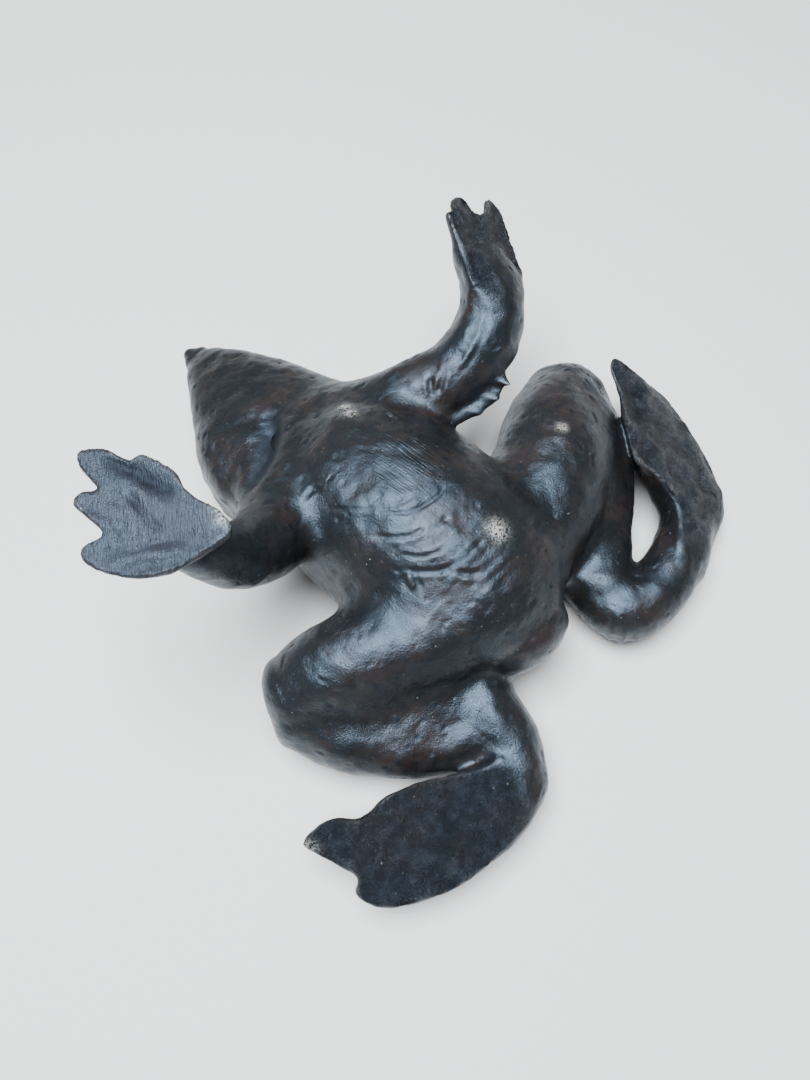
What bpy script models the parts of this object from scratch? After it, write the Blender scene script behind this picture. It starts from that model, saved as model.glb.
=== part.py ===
"""A small cast-metal frog that lies on its back with its belly up.

The casting is built from the pieces its pattern is put together from: a torso, a head in two
halves, two eyes, and for each limb its segments and a flat-soled hand or foot. Nothing moves.
Shapes are given in millimetres and built in metres. +Z is up, the head points to -Y, and the
frog's left side is at -X. The origin is the middle of the ground under the whole frog.
"""
import math

import bmesh
import bpy
import numpy as np
from mathutils import Vector

MM = 0.001
UPWARD = Vector((0.0, 0.0, 1.0))

# Clearance between touching pieces, and the fineness of the lofted skins.
GAP = 0.3
LIMB_SIDES = 14
TORSO_SIDES = 28
HEAD_SIDES = 26
EYE_SIDES = 14
EYE_RINGS = 8
CAP_RINGS = 3
TORSO_RING_COUNT = 15
HEAD_RING_COUNT = 11
THIGH_RING_COUNT = 11
SHANK_RING_COUNT = 10
FOREARM_RING_COUNT = 9
UPPER_ARM_RING_COUNT = 7
TARSUS_RING_COUNT = 7
TANGENT_STEP = 0.01
SHARP_ANGLE = math.radians(50.0)

# Driving sizes of the body.
BELLY_HEIGHT = 31.0
TORSO_HALF_WIDTH = 16.0
EYE_RADIUS = 4.3
PALM_THICKNESS = 4.0
SOLE_THICKNESS = 7.4
TOE_THINNING = 0.5

# How far each rounded end bulges past the last ring, at the start and at the end of a piece.
TORSO_ENDS = (3.0, 4.5)
SNOUT_END = 2.2
UPPER_ARM_ENDS = (3.0, 0.0)
FOREARM_ENDS = (0.0, 2.0)
THIGH_ENDS = (3.0, 4.0)
SHANK_ENDS = (3.4, 3.6)
TARSUS_ENDS = (2.0, 3.0)

# The rings of a hand or a foot from the sole to the back: share of the outline, share of depth.
BLADE_PROFILE = ((0.94, 0.0), (1.0, 0.12), (0.99, 0.35), (0.86, 0.72), (0.5, 1.0))

# A torso ring is: y, x of the middle, z of the underside, z of the top, half width.
TORSO_RINGS = (
    (-21.0, 3.0, 4.5, 24.0, 10.5),
    (-17.0, 2.6, 2.0, 27.0, 13.2),
    (-11.0, 2.0, 0.6, 29.6, 15.2),
    (-3.0, 1.3, 0.0, BELLY_HEIGHT, TORSO_HALF_WIDTH),
    (5.0, 0.9, 0.0, 30.6, 15.6),
    (13.0, 0.7, 0.5, 28.2, 14.0),
    (20.0, 0.8, 1.8, 24.0, 10.6),
    (24.4, 1.0, 4.2, 19.6, 7.2),
)

# A head ring is: y, x of the middle, z of the mouth line, half width, chin rise, skull depth.
HEAD_RINGS = (
    (-15.0, 3.4, 16.0, 12.0, 7.0, 12.0),
    (-22.0, 4.4, 15.6, 14.6, 8.2, 13.6),
    (-28.0, 4.0, 14.8, 13.8, 7.6, 13.4),
    (-35.0, 3.0, 14.0, 11.0, 6.2, 11.4),
    (-42.0, 2.4, 13.2, 7.8, 4.6, 9.0),
    (-47.6, 2.3, 12.4, 4.6, 3.0, 6.6),
    (-50.4, 2.3, 12.0, 2.6, 1.8, 4.4),
)
EYES = {
    "left_eye": (-3.8, -32.0, 5.4),
    "right_eye": (10.6, -31.4, 5.4),
}

# A limb station is: x, y, z of the centreline, half width, half depth.
LEFT_ARM = (
    (-4.0, -20.0, 16.5, 6.0, 6.4),
    (-11.6, -14.4, 20.4, 6.2, 6.2),
    (-18.1, -10.4, 24.0, 5.7, 5.6),
    (-24.2, -9.3, 26.8, 5.3, 5.1),
    (-28.9, -11.2, 29.2, 4.7, 4.3),
    (-32.1, -14.3, 30.8, 4.5, 3.4),
    (-34.0, -17.7, 32.2, 4.5, 2.3),
)
RIGHT_ARM = (
    (6.0, -19.0, 16.5, 6.4, 6.6),
    (13.4, -14.0, 20.2, 6.8, 6.4),
    (20.0, -10.4, 23.8, 5.9, 5.6),
    (25.0, -9.0, 28.4, 5.0, 4.9),
    (28.2, -9.2, 33.8, 4.2, 4.1),
    (30.2, -10.0, 38.6, 3.8, 3.5),
    (31.2, -11.0, 41.6, 3.6, 2.6),
)
# The station at which the upper arm ends and the forearm begins.
ELBOW = 3.0

LEFT_LEG = (
    (-2.0, 18.0, 14.0, 6.5, 7.0),
    (-15.8, 13.0, 15.0, 8.8, 8.6),
    (-24.2, 8.2, 14.4, 9.4, 8.8),
    (-31.4, 3.4, 12.4, 8.2, 8.0),
    (-35.8, 1.0, 10.8, 6.0, 7.0),
)
RIGHT_LEG = (
    (-3.0, 19.0, 14.0, 6.5, 7.0),
    (6.6, 16.2, 15.2, 8.6, 8.6),
    (17.5, 11.7, 14.8, 8.2, 8.6),
    (26.2, 7.5, 12.8, 7.2, 7.8),
    (31.2, 5.6, 11.2, 5.8, 6.6),
)
LEFT_SHANK = (
    (-37.8, 3.0, 9.0, 6.0, 6.2),
    (-34.6, 9.0, 8.3, 7.2, 7.0),
    (-28.4, 15.8, 7.6, 6.6, 6.8),
    (-21.5, 21.8, 7.0, 5.8, 6.2),
    (-15.4, 27.2, 6.8, 5.8, 5.8),
)
RIGHT_SHANK = (
    (32.2, 7.6, 9.2, 5.4, 6.2),
    (29.2, 13.8, 9.2, 6.4, 7.8),
    (24.0, 20.0, 9.0, 7.0, 8.0),
    (17.8, 25.0, 8.6, 7.0, 7.6),
    (13.0, 27.6, 7.8, 6.2, 6.4),
)
LEFT_TARSUS = (
    (-14.6, 27.6, 6.8, 4.8, 4.8),
    (-15.6, 33.0, 6.6, 5.8, 5.4),
    (-21.8, 34.6, 7.2, 5.2, 4.8),
    (-28.6, 32.6, 8.0, 4.8, 4.4),
)
RIGHT_TARSUS = (
    (12.4, 27.6, 7.8, 4.8, 5.4),
    (13.8, 33.2, 7.4, 4.8, 5.6),
    (18.0, 37.2, 7.0, 4.8, 4.8),
    (24.0, 37.6, 7.2, 5.2, 4.2),
)

# Outlines of the flat soles, as (along the toes, across) from the wrist or the heel.
RIGHT_HAND_OUTLINE = (
    (-1.0, 0.0), (1.2, -2.4), (4.8, -3.6), (8.0, -6.4), (11.6, -7.4), (13.2, -6.4),
    (16.2, -7.0), (19.2, -6.2), (18.4, -4.0), (15.8, -2.1), (17.6, -1.2), (17.9, 0.4),
    (15.8, 1.8), (14.0, 3.3), (15.6, 5.0), (15.2, 6.8), (12.2, 8.0), (8.4, 7.8),
    (4.4, 6.2), (0.8, 2.6),
)
LEFT_HAND_OUTLINE = (
    (0.4, 2.1), (1.5, -0.8), (3.6, -2.8), (7.7, -3.6), (13.3, -4.9), (14.3, -4.7),
    (15.0, -3.6), (17.1, -3.0), (18.4, -0.8), (17.8, 0.4), (16.5, 1.3), (16.9, 3.6),
    (19.9, 5.1), (19.0, 7.2), (16.7, 8.9), (12.6, 9.5), (7.5, 8.7), (2.8, 5.9),
)
RIGHT_FOOT_OUTLINE = (
    (-2.8, -1.4), (1.4, -4.4), (7.2, -5.8), (13.0, -6.8), (19.2, -6.6), (23.6, -5.4),
    (26.8, -6.4), (29.6, -6.2), (32.0, -5.4), (32.8, -4.0), (30.0, -1.0), (27.6, 1.2),
    (26.8, 2.6), (27.6, 4.0), (26.8, 5.6), (24.8, 7.2), (21.0, 8.2), (15.6, 8.4),
    (11.6, 8.0), (7.0, 6.2), (2.6, 3.6), (-0.8, 1.2),
)
LEFT_FOOT_OUTLINE = (
    (-3.0, 0.0), (-0.6, 4.0), (2.4, 9.0), (7.8, 13.2), (11.0, 14.0), (16.0, 13.8),
    (21.8, 12.6), (27.0, 11.0), (31.0, 8.2), (34.8, 2.6), (36.4, 0.6), (36.0, -1.0),
    (34.0, -2.0), (30.8, -2.4), (26.6, -3.4), (22.4, -4.0), (16.4, -4.8), (13.2, -1.6),
    (8.6, 1.0), (4.0, 0.8), (0.6, -1.4),
)

# Where each sole lies: a point at its heel, one its toes point to, and its outward direction.
PALMS = {
    "left": ((-27.6, -10.9, 35.0), (-37.5, -24.7, 37.8), (-0.42, 0.46, 0.78)),
    "right": ((27.1, -5.1, 45.6), (37.5, -19.7, 47.6), (0.06, 0.16, 0.98)),
}
SOLES = {
    "left": ((-28.9, 33.9, 12.1), (-47.1, 3.8, 15.1), (-0.35, 0.30, 0.88)),
    "right": ((18.3, 40.6, 11.4), (42.1, 28.8, 10.9), (0.10, 0.16, 0.97)),
}

METAL = {
    "torso": (0.028, 0.024, 0.022),
    "head": (0.024, 0.021, 0.020),
    "limb": (0.030, 0.026, 0.024),
    "sole": (0.040, 0.040, 0.044),
    "eye": (0.020, 0.018, 0.018),
}
ROUGHNESS = 0.38


def clear_scene():
    for thing in list(bpy.data.objects):
        bpy.data.objects.remove(thing, do_unlink=True)


def metal(name, kind):
    """Dark patinated metal in the tone of one region of the casting."""
    material = bpy.data.materials.new(name + "_metal")
    material.use_nodes = True
    shader = material.node_tree.nodes["Principled BSDF"]
    shader.inputs["Base Color"].default_value = (*METAL[kind], 1.0)
    shader.inputs["Metallic"].default_value = 1.0
    shader.inputs["Roughness"].default_value = ROUGHNESS
    material.diffuse_color = (*METAL[kind], 1.0)
    return material


def add_object(name, mesh, kind):
    mesh.materials.append(metal(name, kind))
    mesh.shade_smooth()
    mesh.set_sharp_from_angle(angle=SHARP_ANGLE)
    thing = bpy.data.objects.new(name, mesh)
    bpy.context.scene.collection.objects.link(thing)
    return thing


def spline(stations, place):
    """Catmull-Rom value of the stations at a place counted in stations."""
    rows = np.array(stations, float)
    last = len(rows) - 1
    low = min(int(place), last - 1)
    t = place - low
    before = rows[low - 1] if low > 0 else 2.0 * rows[0] - rows[1]
    after = rows[low + 2] if low + 2 <= last else 2.0 * rows[last] - rows[last - 1]
    a, b = rows[low], rows[low + 1]
    return 0.5 * (2.0 * a + (b - before) * t
                  + (2.0 * before - 5.0 * a + 4.0 * b - after) * t ** 2
                  + (3.0 * a - before - 3.0 * b + after) * t ** 3)


def ring_frames(stations, first, last, count):
    """Centre, tangent and the sizes of evenly spread rings along the stations."""
    frames = []
    for index in range(count):
        place = first + (last - first) * index / (count - 1)
        values = spline(stations, place)
        ahead = spline(stations, min(place + TANGENT_STEP, len(stations) - 1.0))
        behind = spline(stations, max(place - TANGENT_STEP, 0.0))
        tangent = Vector(ahead[:3] - behind[:3]).normalized()
        frames.append([Vector(values[:3]), tangent, list(values[3:])])
    return frames


def rounded_end(frame, outward, length):
    """Shrinking rings that close a loft with a quarter-ellipse profile, then its pole."""
    centre, tangent, sizes = frame
    rings = []
    for index in range(1, CAP_RINGS + 1):
        angle = 0.5 * math.pi * index / (CAP_RINGS + 1)
        shift = tangent * (outward * length * math.sin(angle))
        rings.append([centre + shift, tangent, [size * math.cos(angle) for size in sizes]])
    return rings, centre + tangent * (outward * length)


def full_turn(sides):
    return [2.0 * math.pi * index / sides for index in range(sides)]


def section(frame, angles, upward):
    """Points round one ring. Its sizes are half width, rise and depth, or half width and depth."""
    centre, tangent, sizes = frame
    width, rise, depth = sizes if len(sizes) == 3 else (sizes[0], sizes[1], sizes[1])
    side = tangent.cross(upward).normalized()
    up = side.cross(tangent)
    points = []
    for angle in angles:
        height = math.sin(angle) * (rise if math.sin(angle) > 0.0 else depth)
        points.append(centre + side * (width * math.cos(angle)) + up * height)
    return points


def bridge(shape, rings):
    """Join each ring of vertices to the next one with quads."""
    count = len(rings[0])
    for ring, following in zip(rings, rings[1:]):
        for index in range(count):
            after = (index + 1) % count
            shape.faces.new((ring[index], ring[after], following[after], following[index]))


def close(shape, ring, pole):
    """Close a ring with one flat face, or with a fan to the pole where there is one."""
    if pole is None:
        shape.faces.new(ring)
        return
    tip = shape.verts.new(pole * MM)
    for index in range(len(ring)):
        shape.faces.new((ring[index], ring[(index + 1) % len(ring)], tip))


def finish(shape, name, kind):
    """Turn a closed shape into a named object in the metal of its region."""
    bmesh.ops.recalc_face_normals(shape, faces=shape.faces)
    mesh = bpy.data.meshes.new(name)
    shape.to_mesh(mesh)
    shape.free()
    return add_object(name, mesh, kind)


def skin(name, frames, angles, kind, poles=(None, None), upward=UPWARD):
    """Bridge the rings into one closed skin."""
    shape = bmesh.new()
    rings = []
    for frame in frames:
        points = section(frame, angles, upward)
        rings.append([shape.verts.new(point * MM) for point in points])
    bridge(shape, rings)
    close(shape, rings[0], poles[0])
    close(shape, rings[-1], poles[1])
    return finish(shape, name, kind)


def limb(name, stations, first, last, count, ends, upward=UPWARD):
    """One segment of a limb. A flat end stays half a clearance short of the joint."""
    frames = ring_frames(stations, first, last, count)
    poles = [None, None]
    if ends[0]:
        rings, poles[0] = rounded_end(frames[0], -1.0, ends[0])
        frames = rings[::-1] + frames
    else:
        frames[0][0] = frames[0][0] + frames[0][1] * (0.5 * GAP)
    if ends[1]:
        rings, poles[1] = rounded_end(frames[-1], 1.0, ends[1])
        frames = frames + rings
    else:
        frames[-1][0] = frames[-1][0] - frames[-1][1] * (0.5 * GAP)
    return skin(name, frames, full_turn(LIMB_SIDES), "limb", poles=poles, upward=upward)


def torso():
    stations = [(x, y, 0.5 * (low + high), half, 0.5 * (high - low))
                for y, x, low, high, half in TORSO_RINGS]
    frames = ring_frames(stations, 0.0, len(stations) - 1.0, TORSO_RING_COUNT)
    front, front_pole = rounded_end(frames[0], -1.0, TORSO_ENDS[0])
    back, back_pole = rounded_end(frames[-1], 1.0, TORSO_ENDS[1])
    frames = front[::-1] + frames + back
    return skin("torso", frames, full_turn(TORSO_SIDES), "torso", poles=(front_pole, back_pole))


def head_half(name, angle_start, lift):
    """Half of the head, chin side or skull side, ending flat on the mouth line."""
    stations = [(x, y, z + lift, half, rise, depth) for y, x, z, half, rise, depth in HEAD_RINGS]
    frames = ring_frames(stations, 0.0, len(stations) - 1.0, HEAD_RING_COUNT)
    snout, pole = rounded_end(frames[-1], 1.0, SNOUT_END)
    half_turn = HEAD_SIDES // 2
    angles = [angle_start + math.pi * index / half_turn for index in range(half_turn + 1)]
    return skin(name, frames + snout, angles, "head", poles=(None, pole))


def eye(name, centre):
    shape = bmesh.new()
    bmesh.ops.create_uvsphere(shape, u_segments=EYE_SIDES, v_segments=EYE_RINGS,
                              radius=EYE_RADIUS * MM)
    bmesh.ops.translate(shape, verts=shape.verts, vec=Vector(centre) * MM)
    return finish(shape, name, "eye")


def paddle(name, outline, thickness, place, mirrored=False):
    """A flat-soled hand or foot with a domed back, from the outline of its sole.

    The sole's plane passes through the heel and faces along the normal, and the toes point
    towards the toe point. The blade thins towards the toes.
    """
    heel = Vector(place[0])
    facing = Vector(place[2]).normalized()
    along = Vector(place[1]) - heel
    along = (along - facing * along.dot(facing)).normalized()
    across = facing.cross(along) * (-1.0 if mirrored else 1.0)
    middle = Vector((sum(p[0] for p in outline), sum(p[1] for p in outline))) / len(outline)
    reach = max(p[0] for p in outline)
    shape = bmesh.new()
    rings = []
    for scale, depth in BLADE_PROFILE:
        ring = []
        for length, width in outline:
            a = middle.x + (length - middle.x) * scale
            b = middle.y + (width - middle.y) * scale
            drop = depth * thickness * (1.0 - TOE_THINNING * max(a / reach, 0.0))
            point = heel + along * a + across * b - facing * drop
            ring.append(shape.verts.new(point * MM))
        rings.append(ring)
    bridge(shape, rings)
    close(shape, rings[0], None)
    close(shape, rings[-1], None)
    return finish(shape, name, "sole")


def cut_clear(piece, neighbour, solver="EXACT"):
    """Cut the piece back so that it meets its neighbour with the clearance between them."""
    name = neighbour.name + "_clearance"
    cutter = bpy.data.objects.get(name)
    if cutter is None:
        mesh = neighbour.data.copy()
        normals = [vertex.normal.copy() for vertex in mesh.vertices]
        for vertex, normal in zip(mesh.vertices, normals):
            vertex.co += normal * (GAP * MM)
        cutter = bpy.data.objects.new(name, mesh)
        bpy.context.scene.collection.objects.link(cutter)
        cutter.hide_render = True
        cutter.display_type = "WIRE"
    cut = piece.modifiers.new("clear_of_" + neighbour.name, "BOOLEAN")
    cut.operation = "DIFFERENCE"
    cut.solver = solver
    cut.object = cutter


def stand_on_origin():
    """Hang everything on one empty, so that the origin is under the middle of the frog."""
    graph = bpy.context.evaluated_depsgraph_get()
    corners = []
    for thing in bpy.data.objects:
        if not thing.hide_render:
            corners += [Vector(corner) for corner in thing.evaluated_get(graph).bound_box]
    low = Vector([min(corner[axis] for corner in corners) for axis in range(3)])
    high = Vector([max(corner[axis] for corner in corners) for axis in range(3)])
    place = bpy.data.objects.new("frog", None)
    bpy.context.scene.collection.objects.link(place)
    for thing in bpy.data.objects:
        if thing != place:
            thing.parent = place
    place.location = (-0.5 * (low.x + high.x), -0.5 * (low.y + high.y), -low.z)


def build_leg(side, stations, body, foot):
    """Thigh, shank and tarsus of one side, each cut clear of what it runs into."""
    thigh_line, shank_line, tarsus_line = stations
    thigh = limb(side + "_thigh", thigh_line, 0.0, len(thigh_line) - 1.0, THIGH_RING_COUNT,
                 THIGH_ENDS)
    shank = limb(side + "_shank", shank_line, 0.0, len(shank_line) - 1.0, SHANK_RING_COUNT,
                 SHANK_ENDS)
    tarsus = limb(side + "_tarsus", tarsus_line, 0.0, len(tarsus_line) - 1.0,
                  TARSUS_RING_COUNT, TARSUS_ENDS)
    cut_clear(thigh, body)
    cut_clear(shank, body)
    cut_clear(shank, thigh)
    cut_clear(foot, shank)
    cut_clear(tarsus, shank)
    cut_clear(tarsus, foot)


def build_arm(side, stations, body, skull, jaw, hand):
    """Upper arm and forearm of one side, with the head cut clear of the shoulder."""
    upper_arm = limb(side + "_upper_arm", stations, 0.0, ELBOW, UPPER_ARM_RING_COUNT,
                     UPPER_ARM_ENDS)
    forearm = limb(side + "_forearm", stations, ELBOW, len(stations) - 1.0,
                   FOREARM_RING_COUNT, FOREARM_ENDS, upward=Vector(PALMS[side][2]))
    cut_clear(upper_arm, body)
    cut_clear(skull, upper_arm, solver="MANIFOLD")
    cut_clear(jaw, upper_arm)
    cut_clear(forearm, hand)


def build():
    clear_scene()
    body = torso()
    skull = head_half("skull", math.pi, -0.5 * GAP)
    jaw = head_half("lower_jaw", 0.0, 0.5 * GAP)
    cut_clear(skull, body)
    cut_clear(jaw, body)

    left_hand = paddle("left_hand", LEFT_HAND_OUTLINE, PALM_THICKNESS, PALMS["left"],
                       mirrored=True)
    right_hand = paddle("right_hand", RIGHT_HAND_OUTLINE, PALM_THICKNESS, PALMS["right"])
    left_foot = paddle("left_foot", LEFT_FOOT_OUTLINE, SOLE_THICKNESS, SOLES["left"],
                       mirrored=True)
    right_foot = paddle("right_foot", RIGHT_FOOT_OUTLINE, SOLE_THICKNESS, SOLES["right"])

    build_arm("left", LEFT_ARM, body, skull, jaw, left_hand)
    build_leg("left", (LEFT_LEG, LEFT_SHANK, LEFT_TARSUS), body, left_foot)
    build_arm("right", RIGHT_ARM, body, skull, jaw, right_hand)
    build_leg("right", (RIGHT_LEG, RIGHT_SHANK, RIGHT_TARSUS), body, right_foot)

    for name, centre in EYES.items():
        cut_clear(skull, eye(name, centre))
    stand_on_origin()


build()
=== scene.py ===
"""Looks of the small cast-metal frog that lies on its back.

One continuous skin is modelled as a distance field of blended shapes, given its creases, flash
and tool marks, and divided into one closed piece for each CAD node. Modelling is in millimetres,
in the pattern's own coordinates, and PATTERN_SHIFT moves them to the frame's.
"""
import math

import bpy
import numpy as np
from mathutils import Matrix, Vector
from mathutils.bvhtree import BVHTree


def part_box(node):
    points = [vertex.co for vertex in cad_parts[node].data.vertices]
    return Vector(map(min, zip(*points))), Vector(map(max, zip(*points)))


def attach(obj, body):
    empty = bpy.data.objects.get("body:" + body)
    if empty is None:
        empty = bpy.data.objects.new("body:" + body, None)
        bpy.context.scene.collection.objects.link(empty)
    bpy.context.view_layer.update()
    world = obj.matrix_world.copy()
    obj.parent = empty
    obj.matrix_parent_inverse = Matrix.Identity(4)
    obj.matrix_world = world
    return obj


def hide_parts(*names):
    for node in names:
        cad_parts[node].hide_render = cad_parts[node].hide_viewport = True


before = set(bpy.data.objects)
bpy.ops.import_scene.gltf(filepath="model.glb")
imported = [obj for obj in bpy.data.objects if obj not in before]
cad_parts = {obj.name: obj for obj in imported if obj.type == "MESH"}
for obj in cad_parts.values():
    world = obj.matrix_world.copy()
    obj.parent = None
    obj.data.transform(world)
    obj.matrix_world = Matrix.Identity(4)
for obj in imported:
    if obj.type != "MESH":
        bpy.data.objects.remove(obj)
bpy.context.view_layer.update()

MM = 0.001
# The pattern's origin in the frame, in mm.
PATTERN_SHIFT = np.array([2.657, 4.876, 0.065])

# Fineness of the skin, in mm.
CELL = 0.34
# A shape's distance is worked out within MARGIN mm of it, on every STRIDE-th grid point, and on
# all of them outwards from SKIN_BAND strides inside its surface.
MARGIN = 6.0
STRIDE = 4
SKIN_BAND = 1.5
# Empty grid cells around the whole casting, and points handled at one time.
GRID_PAD = 3.0
CHUNK = 40000
# How often pinched places are filled, and how deep a filled grid point then lies.
MEND_ROUNDS = 6
SLIVER = 0.04
# Two smoothing steps that nearly keep the volume, and how often they are made.
RELAX_SHARES = (0.5, -0.53)
RELAX_ROUNDS = 2
# Guards against division by nothing, and a distance beyond any other.
TINY = 1e-12
SMALL = 1e-9
LEAST_SLOPE = 1e-3
FAR = 1e9

# ---- The pattern: stations along each limb, in mm ----

UP = np.array([0.0, 0.0, 1.0])

# A torso or head station is: x, y, z of the widest level, half width, rise, depth.
TORSO = (
    (3.2, -22.0, 14.5, 9.5, 8.6, 10.0),
    (2.6, -17.0, 14.5, 13.0, 12.2, 12.4),
    (2.0, -11.0, 14.8, 15.2, 14.6, 14.2),
    (1.3, -3.0, 15.2, 16.2, 15.6, 15.1),
    (0.9, 5.0, 15.2, 15.8, 15.3, 15.1),
    (0.7, 13.0, 14.6, 14.2, 13.6, 14.1),
    (0.8, 20.0, 13.0, 11.0, 11.0, 11.2),
    (1.0, 25.0, 12.0, 7.2, 7.4, 7.6),
)
HEAD = (
    (3.4, -15.0, 16.0, 12.0, 6.4, 12.0),
    (4.4, -22.0, 15.6, 14.6, 6.8, 13.6),
    (4.0, -28.0, 14.8, 13.9, 6.6, 13.4),
    (3.0, -35.0, 14.0, 11.2, 5.6, 11.6),
    (2.4, -42.0, 13.2, 8.0, 4.2, 9.2),
    (2.3, -47.6, 12.4, 4.8, 2.9, 6.6),
    (2.3, -50.4, 12.0, 2.7, 1.9, 4.4),
)
EYES = {"left_eye": (-3.8, -32.0, 5.4), "right_eye": (10.6, -31.4, 5.4)}
EYE_RADIUS = 4.3

# A limb station is: x, y, z of the centreline, half width, half depth.
LIMBS = {
    "left_arm": (
        (-4.0, -20.0, 16.5, 6.0, 6.4),
        (-11.6, -14.4, 20.4, 6.2, 6.2),
        (-18.1, -10.4, 24.0, 5.7, 5.6),
        (-24.2, -9.3, 26.8, 5.3, 5.1),
        (-28.9, -11.2, 29.2, 4.7, 4.3),
        (-32.1, -14.3, 30.8, 4.5, 3.6),
        (-34.0, -17.7, 32.2, 4.6, 2.4),
    ),
    "right_arm": (
        (6.0, -19.0, 16.5, 6.4, 6.6),
        (13.4, -14.0, 20.2, 6.8, 6.4),
        (20.0, -10.4, 23.8, 5.9, 5.6),
        (25.0, -9.0, 28.4, 5.0, 4.9),
        (28.2, -9.2, 33.8, 4.2, 4.1),
        (30.2, -10.0, 38.6, 3.8, 3.5),
        (31.6, -11.4, 42.6, 4.0, 2.6),
    ),
    "left_thigh": (
        (-2.0, 18.0, 14.0, 6.5, 7.0),
        (-15.8, 13.0, 15.0, 8.8, 8.6),
        (-24.2, 8.2, 14.4, 9.4, 8.8),
        (-31.4, 3.4, 12.4, 8.2, 8.0),
        (-36.2, 0.8, 10.6, 6.4, 7.2),
    ),
    "right_thigh": (
        (-3.0, 19.0, 14.0, 6.5, 7.0),
        (6.6, 16.2, 15.2, 8.6, 8.6),
        (17.5, 11.7, 14.8, 8.2, 8.6),
        (26.2, 7.5, 12.8, 7.2, 7.8),
        (31.2, 5.6, 11.2, 5.8, 6.6),
    ),
    "left_shank": (
        (-37.4, 2.4, 9.0, 6.2, 6.4),
        (-34.2, 8.6, 8.0, 7.4, 7.0),
        (-28.2, 15.6, 7.4, 6.8, 6.8),
        (-21.4, 21.6, 6.8, 6.0, 6.0),
        (-15.4, 27.2, 6.8, 5.8, 5.8),
    ),
    "right_shank": (
        (33.2, 8.6, 8.6, 4.6, 5.8),
        (31.2, 15.6, 7.6, 4.2, 5.2),
        (25.8, 22.4, 7.2, 4.2, 4.8),
        (19.2, 27.0, 7.2, 4.6, 5.0),
        (13.4, 28.4, 7.6, 5.7, 6.0),
    ),
    "left_tarsus": (
        (-14.6, 27.6, 6.8, 4.8, 4.8),
        (-15.6, 32.6, 6.6, 5.6, 5.4),
        (-21.8, 34.2, 7.2, 5.0, 4.8),
        (-28.8, 33.2, 7.4, 4.6, 4.5),
        (-34.6, 30.0, 7.6, 4.2, 4.3),
        (-37.4, 25.0, 8.8, 3.8, 4.0),
        (-38.6, 20.4, 10.0, 3.0, 3.2),
    ),
    "right_tarsus": (
        (12.4, 27.6, 7.8, 4.8, 5.4),
        (13.8, 33.2, 7.4, 4.8, 5.6),
        (18.0, 37.2, 7.0, 4.8, 4.8),
        (24.0, 37.6, 7.2, 5.2, 4.2),
    ),
}

# A flat-soled hand or foot. The outline is (along, across) from the heel; side is the way that
# "across" counts; bend is where the sole starts to curve away at the heel, and how far; edge is
# the rim's thickness; upright is how far the walls lean to the vertical; bevel is the width and
# depth of a slope on the outer side.
BLADES = {
    "left_hand": dict(
        outline=(
            (0.4, 2.1), (1.5, -0.8), (3.6, -2.8), (7.7, -3.6), (13.3, -4.9), (14.3, -4.7),
            (15.0, -3.6), (17.1, -3.0), (18.4, -0.8), (17.8, 0.4), (16.5, 1.3), (16.9, 3.6),
            (19.9, 5.1), (19.0, 7.2), (16.7, 8.9), (12.6, 9.5), (7.5, 8.7), (2.8, 5.9),
        ),
        heel=(-27.6, -10.9, 35.0), toe=(-37.5, -24.7, 37.8), normal=(-0.42, 0.46, 0.78),
        thickness=4.0, side=-1.0, bend=(8.0, 1.6), rounding=0.8,
    ),
    "right_hand": dict(
        outline=(
            (-1.0, 0.0), (1.2, -2.4), (4.8, -3.6), (8.0, -6.4), (11.6, -7.4), (13.2, -6.4),
            (16.2, -7.0), (19.2, -6.2), (18.4, -4.0), (15.8, -2.1), (17.6, -1.2), (17.9, 0.4),
            (15.8, 1.8), (14.0, 3.3), (15.6, 5.0), (15.2, 6.8), (12.2, 8.0), (8.4, 7.8),
            (4.4, 6.2), (0.8, 2.6),
        ),
        heel=(27.1, -5.1, 45.6), toe=(37.5, -19.7, 47.6), normal=(0.06, 0.16, 0.98),
        thickness=4.0, side=1.0,
    ),
    "left_foot": dict(
        outline=(
            (-3.0, 0.0), (-0.6, 4.0), (2.4, 9.0), (7.8, 13.2), (11.0, 14.0), (16.0, 13.8),
            (21.8, 12.6), (27.0, 11.0), (31.0, 8.2), (34.8, 2.6), (36.4, 0.6), (36.0, -1.0),
            (34.0, -2.0), (30.8, -2.4), (26.6, -3.4), (22.4, -4.0), (16.4, -4.8), (13.2, -1.6),
            (8.6, 1.0), (4.0, 0.8), (0.6, -1.4),
        ),
        heel=(-28.9, 33.9, 12.1), toe=(-47.1, 3.8, 15.1), normal=(-0.35, 0.30, 0.88),
        thickness=5.6, side=-1.0, bend=(9.0, 2.0), rounding=1.1, edge=2.4,
        upright=1.6, bevel=(3.4, 1.1),
    ),
    "right_foot": dict(
        outline=(
            (-2.8, -1.4), (1.4, -4.4), (7.2, -5.8), (13.0, -6.8), (19.2, -6.6), (23.6, -5.4),
            (26.8, -6.4), (29.6, -6.2), (32.0, -5.4), (32.8, -4.0), (30.0, -1.0), (27.6, 1.2),
            (26.8, 2.6), (27.6, 4.0), (26.8, 5.6), (24.8, 7.2), (21.0, 8.2), (15.6, 8.4),
            (11.6, 8.0), (7.0, 6.2), (2.6, 3.6), (-0.8, 1.2),
        ),
        heel=(18.3, 40.6, 11.4), toe=(42.1, 28.8, 10.9), normal=(0.10, 0.16, 0.97),
        thickness=7.4, side=1.0, bend=(8.0, 1.8), rounding=1.4, edge=2.8,
    ),
}

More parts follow.
